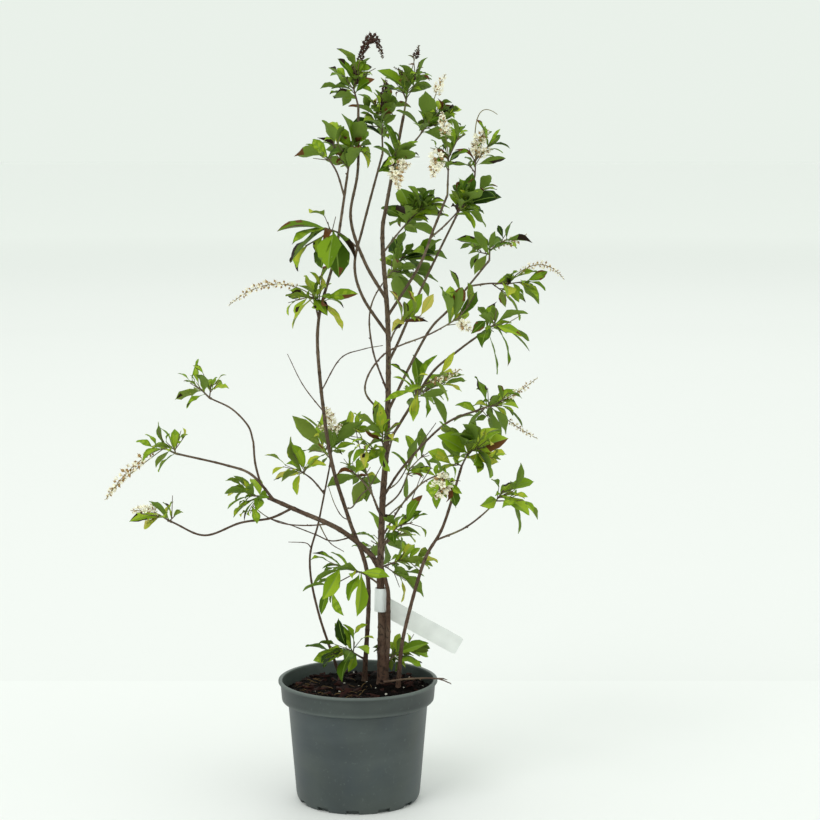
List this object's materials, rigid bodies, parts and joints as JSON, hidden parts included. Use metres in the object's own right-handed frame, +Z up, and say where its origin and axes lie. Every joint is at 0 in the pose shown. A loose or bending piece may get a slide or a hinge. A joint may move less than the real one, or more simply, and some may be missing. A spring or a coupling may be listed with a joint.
{
  "type": "potted flowering shrub",
  "caption": "Young summersweet shrub with slender arching stems, sparse green leaves and small cream flower spikes, in a grey plastic nursery pot.",
  "frame": {"origin": "centre of the pot's flat underside, on the ground", "axes": "+Z up along the pot's axis; -Y towards the viewer of the picture, the shrub's front; +X to that viewer's right"},
  "size_m": [0.4923, 0.3042, 0.841],
  "materials": {
    "pot": "satin",
    "soil": "matte",
    "label": "satin",
    "bark": "matte",
    "foliage": "matte"
  },
  "bodies": {
    "root": {"arching_bough": "bark", "back_low": "foliage", "back_right": "foliage", "centre_front": "foliage", "centre_high": "foliage", "centre_left": "foliage", "centre_low": "foliage", "centre_right": "foliage", "curling_bough": "bark", "far_left_low": "foliage", "far_left_mid": "foliage", "far_left_top": "foliage", "flower_low": "foliage", "foot_left": "foliage", "foot_right": "foliage", "front_right_bough": "bark", "inner_left_bough": "bark", "inner_right_bough": "bark", "label": "label", "leader": "bark", "left_bough": "bark", "left_drooping": "foliage", "left_flowering": "foliage", "left_leader": "bark", "left_low": "foliage", "left_mid": "foliage", "left_mid_outer": "foliage", "left_shoot": "foliage", "low_left": "foliage", "low_right": "foliage", "low_right_bough": "bark", "low_right_inner": "foliage", "pot": "pot", "rear_left_stem": "bark", "right_bough": "bark", "right_hanging": "foliage", "right_high": "foliage", "right_inner": "foliage", "right_low": "foliage", "right_mid": "foliage", "right_outer": "foliage", "right_outer_low": "foliage", "right_stem": "bark", "rising_bough": "bark", "rosette": "foliage", "soil": "soil", "tall_left_stem": "bark", "top_branch": "foliage", "top_centre": "foliage", "top_left": "foliage", "top_right": "foliage", "trailing_bough": "bark", "trunk": "bark", "upper_front": "foliage", "upper_left": "foliage", "upper_right_bough": "bark", "upper_right_far": "foliage", "upper_right_inner": "foliage", "upper_right_near": "foliage", "yellow_spray": "foliage"}
  },
  "joints": []
}
